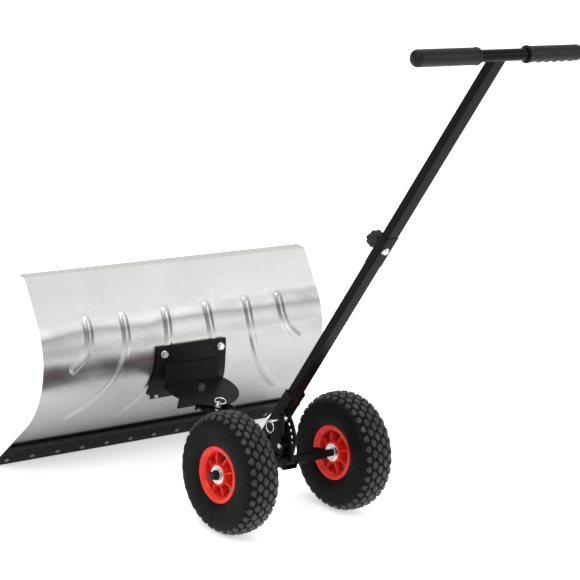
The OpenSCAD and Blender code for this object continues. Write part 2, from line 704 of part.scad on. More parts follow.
// Along the beam from the swivel's axis to the back of the leg, at the disc's underside
leg_foot = bracket_reach - bracket_lean - 1.5;
module disc_outline() {
    difference() {
        union() {
            circle(disc_r, $fn = 120);
            translate(blade_index_r * dir_of(blade_pin_angle)) circle(pin_ear_r);
        }
        circle(d = swivel_bolt_d + 2 * run_fit);
        translate(blade_index_r * dir_of(blade_pin_angle)) circle(d = pin_body_d);
        translate([-2 * disc_r, leg_foot + swivel_plate_t * 0.7]) square(4 * disc_r);
    }
}
module swivel_bracket() {
    color("#19191a") difference() {
        on_swivel() {
            translate([0, 0, disc_z]) linear_extrude(swivel_plate_t) disc_outline();
            in_yz(bracket_w) polygon([[leg_foot, disc_z], [leg_foot + bracket_lean, disc_z + bracket_h],
                [leg_foot + bracket_lean + swivel_plate_t, disc_z + bracket_h],
                [leg_foot + swivel_plate_t, disc_z]]);
        }
        on_ground() in_yz(blade_w) blade_band(-100, plate_off + mount_t);
    }
}
// A bent plate under the disc: it passes in front of the beam's end, and its tongue takes the swivel bolt
tongue_w = 32;
module lower_brace() {
    front = leg_foot + 1.1;
    color("#161617") on_swivel() difference() {
        union() {
            translate([-brace_w / 2, front, -brace_drop]) cube([brace_w, brace_t, disc_z + brace_drop]);
            translate([-tongue_w / 2, -tongue_w / 2, -beam_h / 2 - run_fit - brace_t])
                cube([tongue_w, tongue_w / 2 + front + 1, brace_t]);
        }
        cylinder(d = swivel_bolt_d + 2 * run_fit, h = beam_h * 3, center = true);
    }
}

// ---- blade pin: a plunger through an ear at the disc's rear edge ----
blade_pin_from = washer_z + free_gap;
blade_pin_eye = 27.6;
housing_top = disc_top + 0.7;
ring_wire = 2.6;
ring_r = 11.7;
ring_play = 1;
module ring() { rotate_extrude($fn = 64) translate([ring_r, 0]) circle(d = ring_wire, $fn = 24); }
// Local zero is on the pin's line, at the beam's middle height
module at_blade_pin() {
    on_swivel() rotate(blade_pin_angle + 90) translate([0, -blade_index_r, 0]) children();
}
module blade_pin_housing() {
    color("#c9ccd0") at_blade_pin() difference() {
        translate([0, 0, blade_pin_from]) cylinder(d = pin_body_d, h = housing_top - blade_pin_from);
        cylinder(d = pin_d + 2 * run_fit, h = 60);
    }
}
module blade_pin() {
    color("#c9ccd0") at_blade_pin() rotate(blade_ring_turn) difference() {
        union() {
            translate([0, 0, blade_pin_from + 1.5]) cylinder(d = pin_d, h = blade_pin_eye + 4 - blade_pin_from - 1.5);
            translate([0, 0, blade_pin_from]) cylinder(d1 = pin_d - 3, d2 = pin_d, h = 1.5);
        }
        translate([0, 0, blade_pin_eye]) bar_x(ring_wire / 2 + ring_play, 20);
    }
}
blade_ring_tilt = 8;
blade_ring_turn = -45;
module blade_pin_ring() {
    color("#d5d7da") at_blade_pin() translate([0, 0, blade_pin_eye]) rotate([blade_ring_tilt, 0, blade_ring_turn])
        translate([0, ring_r, 0]) ring();
}

// ================= handle =================
tube_from = quadrant_r + 2;
tube_split = knob_at - 4;
cheek_to = tube_from + 48;
tube_bolt_at = [tube_from + 9, tube_from + 35];
module tube_piece(from, to) {
    translate([0, 0, from]) linear_extrude(to - from) difference() {
        round_rect(tube_w, tube_d, 2.4);
        round_rect(tube_w - 2 * tube_wall, tube_d - 2 * tube_wall, 1);
    }
}
module tube_bolt_holes() { for (s = tube_bolt_at) translate([0, 0, s]) bar_x(tube_bolt_d / 2 + 0.1, 80); }
tube_bolt_d = 8;
module lower_tube() {
    color("#141415") on_handle() difference() {
        tube_piece(tube_from, tube_split);
        tube_bolt_holes();
    }
}
sleeve_t = 1.2;
module tube_sleeve() {
    color("#141415") on_handle() difference() {
        translate([0, 0, tube_split - sleeve_len / 2]) linear_extrude(sleeve_len) difference() {
            round_rect(tube_w + 2 * sleeve_t, tube_d + 2 * sleeve_t, 2.4 + sleeve_t);
            round_rect(tube_w, tube_d, 2.4);
        }
        clamp_hole();
    }
}
module clamp_hole() {
    translate([0, 0, knob_at]) rotate([90, 0, 0]) cylinder(d = clamp_bolt_d + 0.3, h = 60, center = true);
}
module upper_tube() {
    color("#141415") on_handle() difference() {
        tube_piece(tube_split, handle_len);
        clamp_hole();
        translate([0, 0, handle_len]) bar_x(bar_d / 2, 2 * tube_w);
    }
}
knob_from = tube_d / 2 + sleeve_t + free_gap;
clamp_bolt_out = knob_from + knob_l - 8;
module clamp_bolt() {
    color("#d0d3d6") on_handle() translate([0, 0, knob_at]) rotate([-90, 0, 0]) {
        translate([0, 0, -tube_d / 2 - sleeve_t]) cylinder(d = clamp_bolt_d, h = tube_d / 2 + sleeve_t + clamp_bolt_out);
        translate([0, 0, -tube_d / 2 - sleeve_t - 4]) cylinder(d1 = 10, d2 = 17, h = 4);
    }
}
module clamp_knob() {
    color("#1a1a1b") on_handle() translate([0, knob_from, knob_at]) rotate([-90, 0, 0]) difference() {
        union() {
            cylinder(d1 = knob_d - 9, d2 = knob_d - 5, h = knob_l);
            for (i = [0:5]) rotate(i * 60) translate([knob_d / 2 - 5, 0, 0]) cylinder(r = 5, h = knob_l);
        }
        translate([0, 0, -1]) cylinder(d = insert_d, h = knob_l - 4);
    }
}
insert_d = 12;
module knob_insert() {
    color("#b08d3c") on_handle() translate([0, knob_from, knob_at]) rotate([-90, 0, 0]) difference() {
        cylinder(d = insert_d, h = knob_l - 5);
        translate([0, 0, -1]) cylinder(d = clamp_bolt_d + 2 * run_fit, h = knob_l);
    }
}

module on_bar() { on_ground() translate([0, bar_y, bar_z]) children(); }
bar_len = bar_span - 8;
module crossbar() { color("#141415") on_bar() ring_x(bar_d / 2, bar_d / 2 - tube_wall, bar_len); }
// A grip: a sleeve with a collar at its inner end and a closed round outer end
module grip(s, gap, body_d, collar_d, collar_t) {
    l = bar_span / 2 - gap;
    rotate([0, s * 90, 0]) translate([0, 0, gap]) difference() {
        union() {
            cylinder(d1 = collar_d - 2, d2 = collar_d, h = 1.5);
            translate([0, 0, 1.5]) cylinder(d = collar_d, h = collar_t - 3);
            translate([0, 0, collar_t - 1.5]) cylinder(d1 = collar_d, d2 = collar_d - 2, h = 1.5);
            cylinder(d = body_d, h = l - 7);
            translate([0, 0, l - 7]) cylinder(d1 = body_d, d2 = body_d - 5, h = 4);
            translate([0, 0, l - 3]) cylinder(d1 = body_d - 5, d2 = body_d - 16, h = 3);
        }
        translate([0, 0, -1]) cylinder(d = bar_d, h = l - 3);
    }
}
module left_grip() { color("#1c1c1d") on_bar() grip(-1, left_grip_gap, grip_d - 1.5, grip_d, 6); }
module right_grip() { color("#1c1c1d") on_bar() grip(1, right_grip_gap, grip_d - 3, grip_d, 7); }

// ---- cheeks that carry the handle ----
pin_at = tilt_index_r * dir_of(90 + tilt_pin_lead);
module strap_outline(half_w) {
    circle(boss_r);
    translate([-half_w, 0]) square([2 * half_w, cheek_to]);
}
pin_boss_r = 11;
module left_handle_cheek() {
    color("#232325") on_handle() difference() {
        in_yz(cheek_t, -handle_cheek_x) difference() {
            union() {
                strap_outline(11);
                translate(pin_at) circle(pin_boss_r);
            }
            circle(d = tilt_bolt_d + 2 * run_fit);
            translate(pin_at) circle(d = pin_tail_d + 2 * run_fit);
        }
        tube_bolt_holes();
    }
}
// A side plate on the left cheek that stiffens the pin's seat, notched for the axle at the lowest positions
axle_at = [-tilt_y, axle_z - tilt_z];
module pin_bracket() {
    color("#2b2b2d") on_handle() in_yz(bracket_t, -cheek_out - bracket_t / 2) difference() {
        polygon([[1.8, 49.7], [-8, 66.9], [-8, 84], [-26, 84], [-39.1, 66.9], [-54.7, 43.5], [-29.5, 12.4]]);
        translate(pin_at) circle(d = pin_tail_d + 2 * run_fit);
        for (i = [2.5:0.5:4]) rotate(handle_pitch - 90 - i * tilt_index_step)
            translate(axle_at) circle(axle_d / 2 + 2);
    }
}
module right_handle_cheek() {
    color("#232325") on_handle() difference() {
        in_yz(cheek_t, handle_cheek_x) difference() {
            strap_outline(11);
            circle(d = tilt_bolt_d + 2 * run_fit);
        }
        tube_bolt_holes();
    }
}
module tube_bolts() {
    color("#232325") on_handle() for (s = tube_bolt_at) translate([0, 0, s]) {
        bar_x(tube_bolt_d / 2, 2 * cheek_out + 11, 4.5);
        translate([-cheek_out - 2.2, 0, 0]) rotate([0, 90, 0]) cylinder(d1 = 9, d2 = 13, h = 2.2);
    }
}
module tube_nuts() {
    color("#232325") on_handle() for (s = tube_bolt_at) translate([cheek_out, 0, s]) rotate([0, 90, 0])
        difference() {
            hex_head(13, 8);
            translate([0, 0, -1]) cylinder(d = tube_bolt_d, h = 20);
        }
}

// ---- handle pin: a plunger on the left cheek ----
pin_tail_d = 6;
handle_pin_tip = quadrant_t / 2 + free_gap;
housing_end = handle_pin_tip + 1;
module at_handle_pin() { on_handle() translate([0, pin_at[0], pin_at[1]]) children(); }
module handle_pin_housing() {
    color("#a8abaf") at_handle_pin()
        ring_x(7.5, pin_d / 2 + run_fit, tube_w / 2 - housing_end, -(tube_w / 2 + housing_end) / 2);
}
handle_pin_end = 48;
handle_eye = 45;
module handle_pin() {
    neck = handle_pin_tip + 7;
    color("#c9ccd0") at_handle_pin() difference() {
        union() {
            translate([-neck, 0, 0]) rotate([0, 90, 0]) cylinder(d = pin_d, h = 5.5);
            translate([-handle_pin_tip - 1.5, 0, 0]) rotate([0, 90, 0]) cylinder(d1 = pin_d, d2 = pin_d - 2, h = 1.5);
            bar_x(pin_tail_d / 2, handle_pin_end - neck + eps, -(handle_pin_end + neck - eps) / 2);
        }
        translate([-handle_eye, 0, 0]) rotate([handle_pitch, 0, 0])
            cylinder(d = ring_wire + ring_play, h = 20, center = true);
    }
}
module handle_pin_ring() {
    color("#d5d7da") at_handle_pin() translate([-handle_eye, 0, 0]) rotate([handle_pitch - 90, 0, 0])
        translate([0, 0, -ring_r]) rotate([0, 90, 0]) ring();
}

push_beam();
axle();
axle_gussets();
quadrant_plate();
tilt_cheeks();
cheek_bolt();
tilt_bolt();
tilt_nut();
tilt_spacers();
index_plate();
thrust_washer();
swivel_bolt();
swivel_nut();
axle_washers();
axle_caps();
left_tyre();
left_inner_tube();
left_rim_outer();
left_rim_inner();
left_bearings();
left_hub_sleeve();
left_rim_screws();
right_tyre();
right_inner_tube();
right_rim_outer();
right_rim_inner();
right_bearings();
right_hub_sleeve();
right_rim_screws();
blade();
scraper_strip();
strip_screws();
strip_nuts();
mount_plate();
mount_bolts();
mount_nuts();
swivel_bracket();
lower_brace();
blade_pin_housing();
blade_pin();
blade_pin_ring();
left_handle_cheek();
right_handle_cheek();
pin_bracket();
lower_tube();
tube_sleeve();
upper_tube();
tube_bolts();
tube_nuts();
clamp_bolt();
clamp_knob();
knob_insert();
crossbar();
left_grip();
right_grip();
handle_pin_housing();
handle_pin();
handle_pin_ring();
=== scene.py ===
import json
import math

import bmesh
import bpy
import numpy as np
from mathutils import Matrix, Vector


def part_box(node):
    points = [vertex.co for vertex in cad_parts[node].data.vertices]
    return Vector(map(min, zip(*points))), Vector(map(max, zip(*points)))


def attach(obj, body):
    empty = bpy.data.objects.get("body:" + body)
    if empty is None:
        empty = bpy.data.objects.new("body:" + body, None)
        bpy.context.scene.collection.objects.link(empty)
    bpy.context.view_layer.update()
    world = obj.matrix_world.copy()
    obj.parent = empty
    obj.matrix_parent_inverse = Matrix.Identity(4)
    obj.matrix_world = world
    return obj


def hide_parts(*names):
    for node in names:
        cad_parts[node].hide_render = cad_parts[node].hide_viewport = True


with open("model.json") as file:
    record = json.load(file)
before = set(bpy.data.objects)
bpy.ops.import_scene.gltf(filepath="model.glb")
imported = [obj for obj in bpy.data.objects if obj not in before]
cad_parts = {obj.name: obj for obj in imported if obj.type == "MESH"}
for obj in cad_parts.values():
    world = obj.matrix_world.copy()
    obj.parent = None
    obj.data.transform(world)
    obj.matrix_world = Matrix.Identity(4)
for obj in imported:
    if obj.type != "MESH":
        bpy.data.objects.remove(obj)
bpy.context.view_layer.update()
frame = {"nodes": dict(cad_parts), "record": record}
nodes = frame["nodes"]
MM = 0.001
TAU = 2 * math.pi


# ------------------------------------------------------------------ materials
class Mat:
    """A node material, with short ways to add the nodes that colour, roughness and bump need."""

    def __init__(self, name, **sockets):
        self.material = bpy.data.materials.new(name)
        self.material.use_nodes = True
        self.tree = self.material.node_tree
        self.shader = self.tree.nodes["Principled BSDF"]
        for key, value in sockets.items():
            self.shader.inputs[key.replace("_", " ")].default_value = value
        self.coords = self.tree.nodes.new("ShaderNodeTexCoord").outputs["Object"]
        self.last_bump = None

    def node(self, kind, **props):
        made = self.tree.nodes.new(kind)
        for key, value in props.items():
            setattr(made, key, value)
        return made

    def link(self, source, target):
        self.tree.links.new(source, target)

    def mapping(self, scale):
        made = self.node("ShaderNodeMapping")
        made.inputs["Scale"].default_value = scale
        self.link(self.coords, made.inputs["Vector"])
        return made.outputs["Vector"]

    def noise(self, scale, detail=3.0, rough=0.5, vector=None):
        made = self.node("ShaderNodeTexNoise")
        made.inputs["Scale"].default_value = scale
        made.inputs["Detail"].default_value = detail
        made.inputs["Roughness"].default_value = rough
        self.link(vector or self.coords, made.inputs["Vector"])
        return made.outputs["Fac"]

    def ramp(self, factor, *stops):
        """A colour ramp; a stop is its position and a colour or a grey."""
        made = self.node("ShaderNodeValToRGB")
        elements = made.color_ramp.elements
        while len(elements) < len(stops):
            elements.new(0.5)
        for element, (position, colour) in zip(elements, stops):
            element.position = position
            element.color = (*colour, 1) if isinstance(colour, tuple) else (colour, colour, colour, 1)
        self.link(factor, made.inputs["Fac"])
        return made.outputs["Color"]

    def span(self, factor, low, high, from_low=0.3, from_high=0.7):
        """The factor's range from_low to from_high, stretched to low to high."""
        made = self.node("ShaderNodeMapRange")
        ends = {"From Min": from_low, "From Max": from_high, "To Min": low, "To Max": high}
        for key, value in ends.items():
            made.inputs[key].default_value = value
        self.link(factor, made.inputs["Value"])
        return made.outputs["Result"]

    def add(self, a, b):
        made = self.node("ShaderNodeMath", operation="ADD")
        self.link(a, made.inputs[0])
        self.link(b, made.inputs[1])
        return made.outputs[0]

    def blend(self, factor, a, b, mode="MIX"):
        made = self.node("ShaderNodeMix", data_type="RGBA", blend_type=mode)
        for key, value in (("Factor", factor), ("A", a), ("B", b)):
            if isinstance(value, (int, float)):
                made.inputs[key].default_value = value
            elif isinstance(value, tuple):
                made.inputs[key].default_value = (*value, 1)
            else:
                self.link(value, made.inputs[key])
        return made.outputs["Result"]

    def multiply(self, a, b):
        return self.blend(1.0, a, b, "MULTIPLY")

    def colour(self, source):
        self.link(source, self.shader.inputs["Base Color"])

    def rough(self, source):
        self.link(source, self.shader.inputs["Roughness"])

    def bump(self, height, distance, strength=1.0):
        """Relief of a few micrometres to a millimetre, on top of the relief added before."""
        made = self.node("ShaderNodeBump")
        made.inputs["Distance"].default_value = distance
        made.inputs["Strength"].default_value = strength
        self.link(height, made.inputs["Height"])
        if self.last_bump:
            self.link(self.last_bump, made.inputs["Normal"])
        self.last_bump = made.outputs["Normal"]
        self.link(self.last_bump, self.shader.inputs["Normal"])


# The sheet's tone at a few heights in metres: painted reflections of the studio, which band its curve light
# and dark
PAINTED_SHEET_REFLECTIONS = (
    (0.09, 0.25),  # dark by the scraper strip
    (0.13, 0.45),
    (0.17, 0.52),  # a plain grey that brightens slowly
    (0.27, 0.65),
    (0.29, 0.95),  # a bright band
    (0.31, 0.55),
    (0.335, 0.27),  # a dark streak
    (0.36, 0.98),  # bright to the top
)


def gloss_black(name, shade, rough_low, rough_high, shine, peel=0.00006):
    """Nearly black paint or plastic with orange peel and a few duller, dusty patches."""
    m = Mat(name, Specular_IOR_Level=shine)
    clean = (shade, shade, shade * 1.08)
    dusty = (shade * 1.7, shade * 1.65, shade * 1.65)
    m.colour(m.ramp(m.noise(14.0, 4.0, 0.6), (0.3, clean), (0.75, dusty)))
    m.rough(m.span(m.noise(38.0, 5.0, 0.62), rough_low, rough_high))
    m.bump(m.noise(420.0, 2.0, 0.5), peel)
    return m.material


def bright_metal(name, tone, rough_low, rough_high):
    """Plated or bare metal, darker in patches, with a fine grain."""
    m = Mat(name, Metallic=1.0)
    dark = tuple(0.82 * c for c in tone)
    m.colour(m.ramp(m.noise(60.0, 4.0, 0.6), (0.3, dark), (0.7, tone)))
    m.rough(m.span(m.noise(210.0, 3.0, 0.5), rough_low, rough_high))
    m.bump(m.noise(900.0, 2.0, 0.5), 0.00002)
    return m.material


def sheet_steel(name):
    """Bright galvanised sheet: soft spangle, fine rolling lines along X, and bands of studio reflections
    painted into its colour.
    """
    m = Mat(name, Metallic=1.0)
    split = m.node("ShaderNodeSeparateXYZ")
    m.link(m.coords, split.inputs["Vector"])
    x, z = split.outputs["X"], split.outputs["Z"]

    # The painted reflection bands lie at a height that drifts a little and rises slightly from left to right
    drift = m.span(m.noise(1.0, 3.0, 0.55, m.mapping((7, 1.5, 16))), -0.007, 0.007, 0.25, 0.75)
    lean = m.span(x, 0.01, -0.003, -0.38, 0.38)
    level = m.add(m.add(z, drift), lean)
    low, high = PAINTED_SHEET_REFLECTIONS[0][0], PAINTED_SHEET_REFLECTIONS[-1][0]
    stops = [((height - low) / (high - low), tone) for height, tone in PAINTED_SHEET_REFLECTIONS]
    tone = m.ramp(m.span(level, 0.0, 1.0, low, high), *stops)

    # A painted darker reflection on the left, below the bright band, broken by a coarse noise
    patch_height = m.span(level, 0.0, 1.0, 0.225, 0.285)
    patch_z = m.ramp(patch_height, (0.0, 0.0), (0.3, 0.9), (0.62, 1.0), (0.95, 0.0))
    patch_x = m.span(x, 1.0, 0.0, -0.13, -0.03)
    gaps = m.ramp(m.noise(1.0, 2.0, 0.5, m.mapping((11, 3, 20))), (0.3, 0.45), (0.6, 1.0))
    patch = m.multiply(m.multiply(patch_z, patch_x), gaps)

    cells = m.node("ShaderNodeTexVoronoi")
    cells.inputs["Scale"].default_value = 75.0
    m.link(m.coords, cells.inputs["Vector"])
    spangle = m.ramp(cells.outputs["Color"], (0.0, 0.95), (1.0, 1.0))
    cloud = m.noise(7.0, 4.0, 0.55)
    base = m.ramp(cloud, (0.32, (0.72, 0.72, 0.705)), (0.7, (0.76, 0.76, 0.745)))
    # The sheet's colour times its painted reflection bands, then darkened by the painted reflection on the
    # left
    shade = m.multiply(m.multiply(base, spangle), tone)
    m.colour(m.blend(patch, shade, m.multiply(shade, (0.45, 0.45, 0.45))))

    lines = m.noise(1.0, 3.0, 0.6, m.mapping((5, 900, 900)))
    m.rough(m.span(m.blend(0.85, lines, cloud), 0.26, 0.30))
    m.bump(lines, 0.000004)
    m.bump(m.noise(3.0, 2.0, 0.5), 0.0005, 0.4)
    return m.material


def rubber(name, shade, rough_low, rough_high, shine, grain=700.0, depth=0.00005, tint=(1.0, 1.0, 1.0)):
    """Matt dark rubber with a fine grain."""
    m = Mat(name, Specular_IOR_Level=shine)
    dark = tuple(shade * 0.8 * c for c in tint)
    light = tuple(shade * 1.25 * c for c in tint)
    m.colour(m.ramp(m.noise(22.0, 5.0, 0.65), (0.3, dark), (0.72, light)))
    m.rough(m.span(m.noise(90.0, 3.0, 0.5), rough_low, rough_high))
    m.bump(m.noise(grain, 3.0, 0.6), depth)
    return m.material


def red_plastic(name):
    m = Mat(name, Specular_IOR_Level=0.25, Subsurface_Weight=0.05, Subsurface_Radius=(0.004, 0.0008, 0.0004))
    m.colour(m.ramp(m.noise(30.0, 3.0, 0.6), (0.3, (0.57, 0.015, 0.008)), (0.7, (0.68, 0.024, 0.012))))
    m.rough(m.span(m.noise(120.0, 3.0, 0.5), 0.22, 0.34))
    m.bump(m.noise(380.0, 2.0, 0.5), 0.00004)
    return m.material


def white_nylon(name):
    m = Mat(name, Roughness=0.45)
    m.colour(m.ramp(m.noise(40.0), (0.3, (0.66, 0.65, 0.60)), (0.7, (0.74, 0.73, 0.68))))
    m.bump(m.noise(500.0), 0.00004)
    return m.material


M_FRAME = gloss_black("frame_paint", 0.0035, 0.28, 0.44, 0.1)
M_HANDLE = gloss_black("handle_paint", 0.0022, 0.2, 0.32, 0.06)
M_CAP = gloss_black("cap_plastic", 0.006, 0.34, 0.5, 0.25, peel=0.0001)
M_KNOB = gloss_black("knob_plastic", 0.006, 0.28, 0.42, 0.25, peel=0.0001)
M_AXLE = gloss_black("axle_satin", 0.004, 0.34, 0.48, 0.1, peel=0.00004)
M_ZINC = bright_metal("zinc_plate", (0.72, 0.73, 0.74), 0.24, 0.4)
M_DULL = bright_metal("dull_zinc", (0.17, 0.17, 0.17), 0.4, 0.55)
M_RING = bright_metal("ring_steel", (0.86, 0.86, 0.87), 0.12, 0.22)
M_BEARING = bright_metal("bearing_steel", (0.74, 0.74, 0.73), 0.2, 0.34)
M_BRASS = bright_metal("insert_brass", (0.78, 0.58, 0.27), 0.25, 0.4)
M_SHEET = sheet_steel("galvanised_sheet")
M_TYRE = rubber("tyre_rubber", 0.004, 0.5, 0.7, 0.09, tint=(1.0, 0.985, 0.96))
M_TREAD = rubber("tread_rubber", 0.012, 0.36, 0.5, 0.42)
M_TUBE = rubber("tube_rubber", 0.006, 0.4, 0.55, 0.2)
M_STRIP = rubber("strip_rubber", 0.002, 0.5, 0.65, 0.06)
M_GRIP = rubber("grip_rubber", 0.005, 0.36, 0.52, 0.18, grain=520.0, depth=0.00012)
M_RED = red_plastic("red_plastic")
M_NYLON = white_nylon("nylon")

SLOT_MATERIAL = {
    "black_frame": M_FRAME,
    "black_handle": M_HANDLE,
    "dark_axle": M_AXLE,
    "zinc": M_ZINC,
    "ring_steel": M_RING,
    "bearing_steel": M_BEARING,
    "nylon": M_NYLON,
    "cap_plastic": M_CAP,
    "knob_plastic": M_KNOB,
    "insert_brass": M_BRASS,
    "tyre_rubber": M_TYRE,
    "tube_rubber": M_TUBE,
    "red_plastic": M_RED,
    "galvanised_sheet": M_SHEET,
    "strip_rubber": M_STRIP,
    "grip_rubber": M_GRIP,
}


# ------------------------------------------------------------------ building pieces
def clamp(value):
    return min(max(value, 0.0), 1.0)


def box_size(name):
    """Lengths in mm of a CAD node's box along x, y and z."""
    low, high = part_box(name)
    return [(b - a) / MM for a, b in zip(low, high)]


def direction(angle):
    """The 2-D unit vector at an angle in radians from the first axis."""
    return Vector((math.cos(angle), math.sin(angle)))


def left_of(unit):
    """The 2-D unit vector a quarter turn anticlockwise from this one."""
    return Vector((-unit.y, unit.x))


def rounded(profile, radius, steps=5):
    """The open outline with each inner corner turned into an arc-like run of points."""
    out = [Vector(profile[0])]
    for i in range(1, len(profile) - 1):
        before, corner, after = (Vector(profile[j]) for j in (i - 1, i, i + 1))
        back = min(radius, (before - corner).length * 0.45)
        on = min(radius, (after - corner).length * 0.45)
        start = corner + (before - corner).normalized() * back
        end = corner + (after - corner).normalized() * on
        for k in range(steps + 1):
            t = k / steps
            out.append(start * (1 - t) ** 2 + corner * 2 * t * (1 - t) + end * t * t)
    out.append(Vector(profile[-1]))
    return out


def skin(rings, count, loop=False):
    """Quads between neighbouring closed rings of count points each; loop joins the last ring to the first."""
    faces = []
    for j in range(rings if loop else rings - 1):
        here, there = j * count, (j + 1) % rings * count
        for k in range(count):
            k2 = (k + 1) % count
            faces.append((here + k, here + k2, there + k2, there + k))
    return faces


def ringed(rows, count, place, first_cap=False):
    """Verts and faces of one ring for each row, closed at the last; place(k, angle, *row) gives a point."""
    verts = [place(k, TAU * k / count, *row) for row in rows for k in range(count)]
    faces = skin(len(rows), count)
    if first_cap:
        faces.append(tuple(range(count)))
    faces.append(tuple(range(len(verts) - count, len(verts))))
    return verts, faces


def revolve(profile, centre, side, steps):
    """Verts and faces of a closed profile of (x, r) in mm, turned about X; side -1 mirrors x."""
    verts = []
    for k in range(steps):
        turned = direction(TAU * k / steps)
        verts += [centre + Vector((side * x, r * turned.x, r * turned.y)) * MM for x, r in profile]
    return verts, skin(steps, len(profile), loop=True)


class Mesh:
    """Gathers verts and faces of several parts into one mesh."""

    def __init__(self):
        self.verts = []
        self.faces = []
        self.materials = []

    def add(self, verts, faces, material=0):
        base = len(self.verts)
        self.verts += [tuple(v) for v in verts]
        self.faces += [tuple(i + base for i in face) for face in faces]
        self.materials += [material] * len(faces)

    def piece(self, name, body, slot, *materials):
        """The gathered mesh as a smooth piece with outward faces."""
        mesh = bpy.data.meshes.new(name)
        mesh.from_pydata(self.verts, [], self.faces)
        mesh.polygons.foreach_set("material_index", self.materials)
        bm = bmesh.new()
        bm.from_mesh(mesh)
        bmesh.ops.recalc_face_normals(bm, faces=bm.faces)
        bm.to_mesh(mesh)
        bm.free()
        return add_piece(name, mesh, body, slot, *materials)


def add_piece(name, mesh, body, slot, *materials):
    piece = bpy.data.objects.new(name, mesh)
    bpy.context.scene.collection.objects.link(piece)
    for material in materials:
        mesh.materials.append(material)
    mesh.polygons.foreach_set("use_smooth", [True] * len(mesh.polygons))
    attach(piece, body)
    return piece


def sharp_by_angle(piece, degrees):
    """Keeps the edges that turn by more than this angle sharp."""
    bm = bmesh.new()
    bm.from_mesh(piece.data)
    for edge in bm.edges:
        if len(edge.link_faces) == 2 and edge.calc_face_angle(0) > math.radians(degrees):
            edge.smooth = False
    bm.to_mesh(piece.data)
    bm.free()


def add_bevel(node, width):
    """Softens a CAD node's edges by modifiers alone; its own mesh stays as it is."""
    weld = node.modifiers.new("weld", "WELD")
    weld.merge_threshold = 0.001 * MM
    bevel = node.modifiers.new("bevel", "BEVEL")
    bevel.width = width * MM
    bevel.segments = 2
    bevel.limit_method = "ANGLE"
    bevel.angle_limit = math.radians(32)
    bevel.harden_normals = True
    bevel.use_clamp_overlap = True


# ------------------------------------------------------------------ wheels
AXLE_AT = sum(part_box("axle"), Vector((0, 0, 0))) / 2


def wheel_centre(side):
    """The middle of a tyre, on the axle's line."""
    low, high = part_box(side + "_tyre")
    return Vector(((low.x + high.x) / 2, AXLE_AT.y, AXLE_AT.z))


# Radii, and distances outwards from the wheel's middle plane, in mm
WHEEL_AT = {side: wheel_centre(side) for side in ("left", "right")}
TYRE_R = WHEEL_AT["left"].z / MM
TYRE_W = box_size("left_tyre")[0]
RIM_R = box_size("left_rim_outer")[2] / 2
RIM_X = box_size("left_rim_outer")[0]
BEAD_R = RIM_R - 8
BELLY_R = (TYRE_R + BEAD_R) / 2 - 1  # where the tyre is widest
SQUARENESS = 2.5  # of the superellipse that the tyre's section follows
BEARING_R = box_size("left_bearings")[2] / 2
BEARING_X = box_size("left_bearings")[0] / 2
BEARING_LEN = 12
BEARING_BORE = 6.42
HUB_R = BEARING_R + 4.5
WEB_X = 10.5
TREAD = 3.6
BLOCKS_ROUND = 34
FINE = 0.5  # step in degrees of the outline that distances are measured on


def outline_point(angle):
    """A point (x, r) in mm on the tyre's outline; the angle is 0 at the crown and 90 degrees at the side."""
    s, c = math.sin(angle), math.cos(angle)
    x = TYRE_W / 2 * math.copysign(abs(s) ** (2 / SQUARENESS), s)
    r = BELLY_R + (TYRE_R - BELLY_R) * math.copysign(abs(c) ** (2 / SQUARENESS), c)
    return x, r


OUTLINE = [outline_point(math.radians(i * FINE)) for i in range(int(180 / FINE) + 1)]
ALONG = [0.0]  # distance in mm from the crown to each point of OUTLINE
for here, there in zip(OUTLINE, OUTLINE[1:]):
    ALONG.append(ALONG[-1] + math.dist(here, there))


def on_outline(u, height):
    """(x, r) in mm at the distance u along the outline from the crown, and a height above it."""
    last = len(OUTLINE) - 1
    i = min(max(np.searchsorted(ALONG, abs(u)), 1), last)
    share = (abs(u) - ALONG[i - 1]) / (ALONG[i] - ALONG[i - 1])
    point = Vector(OUTLINE[i - 1]).lerp(Vector(OUTLINE[i]), share)
    tangent = (Vector(OUTLINE[min(i + 4, last)]) - Vector(OUTLINE[max(i - 5, 0)])).normalized()
    if i < 6:
        tangent = Vector((1, 0))  # the crown is flat
    normal = left_of(tangent)
    if normal.dot(point - Vector((0, BELLY_R))) < 0:
        normal = -normal
    point += normal * height
    return (math.copysign(point.x, u) if u else 0.0), point.y


def soft_polygon(corners, cut=0.22):
    """Corners cut back so that the block's outline is rounded."""
    out = []
    for i, corner in enumerate(corners):
        before, here, after = (Vector(v) for v in (corners[i - 1], corner, corners[(i + 1) % len(corners)]))
        first, last = here.lerp(before, cut), here.lerp(after, cut)
        out += [first, here.lerp(first.lerp(last, 0.5), 0.6), last]
    return [tuple(v) for v in out]


# Outlines of the tread blocks in mm, along the tyre's outline and round the tyre, and each row's place
HEXAGON = soft_polygon([(-5.6, -3.6), (0, -9.4), (5.6, -3.6), (5.6, 3.6), (0, 9.4), (-5.6, 3.6)])
LUG = soft_polygon([(-4.6, -7.2), (3.2, -6.6), (8.4, 0), (3.2, 6.6), (-4.6, 7.2)])
BLOCK_ROWS = ((6.6, HEXAGON), (19.6, HEXAGON), (32.5, LUG))
BLOCK_LAYERS = ((1.16, -TREAD), (1.0, -0.7), (0.93, -0.18), (0.80, 0.0))  # size and height, from the foot up
BLOCK_HOLLOW = 0.12


def tread_block(m, centre, u0, angle0, shape):
    """One tread block at the distance u0 from the crown and the angle angle0 round the tyre."""
    def place(u, angle, height):
        x, r = on_outline(u, height)
        return centre + Vector((x, r * math.cos(angle), r * math.sin(angle))) * MM

    verts = []
    for size, height in BLOCK_LAYERS:
        verts += [place(u0 + du * size, angle0 + dv * size / TYRE_R, height) for du, dv in shape]
    faces = skin(len(BLOCK_LAYERS), len(shape))
    top = len(verts) - len(shape)
    faces += [(top + i, top + (i + 1) % len(shape), len(verts)) for i in range(len(shape))]
    verts.append(place(u0, angle0, -BLOCK_HOLLOW))
    m.add(verts, faces, 1)


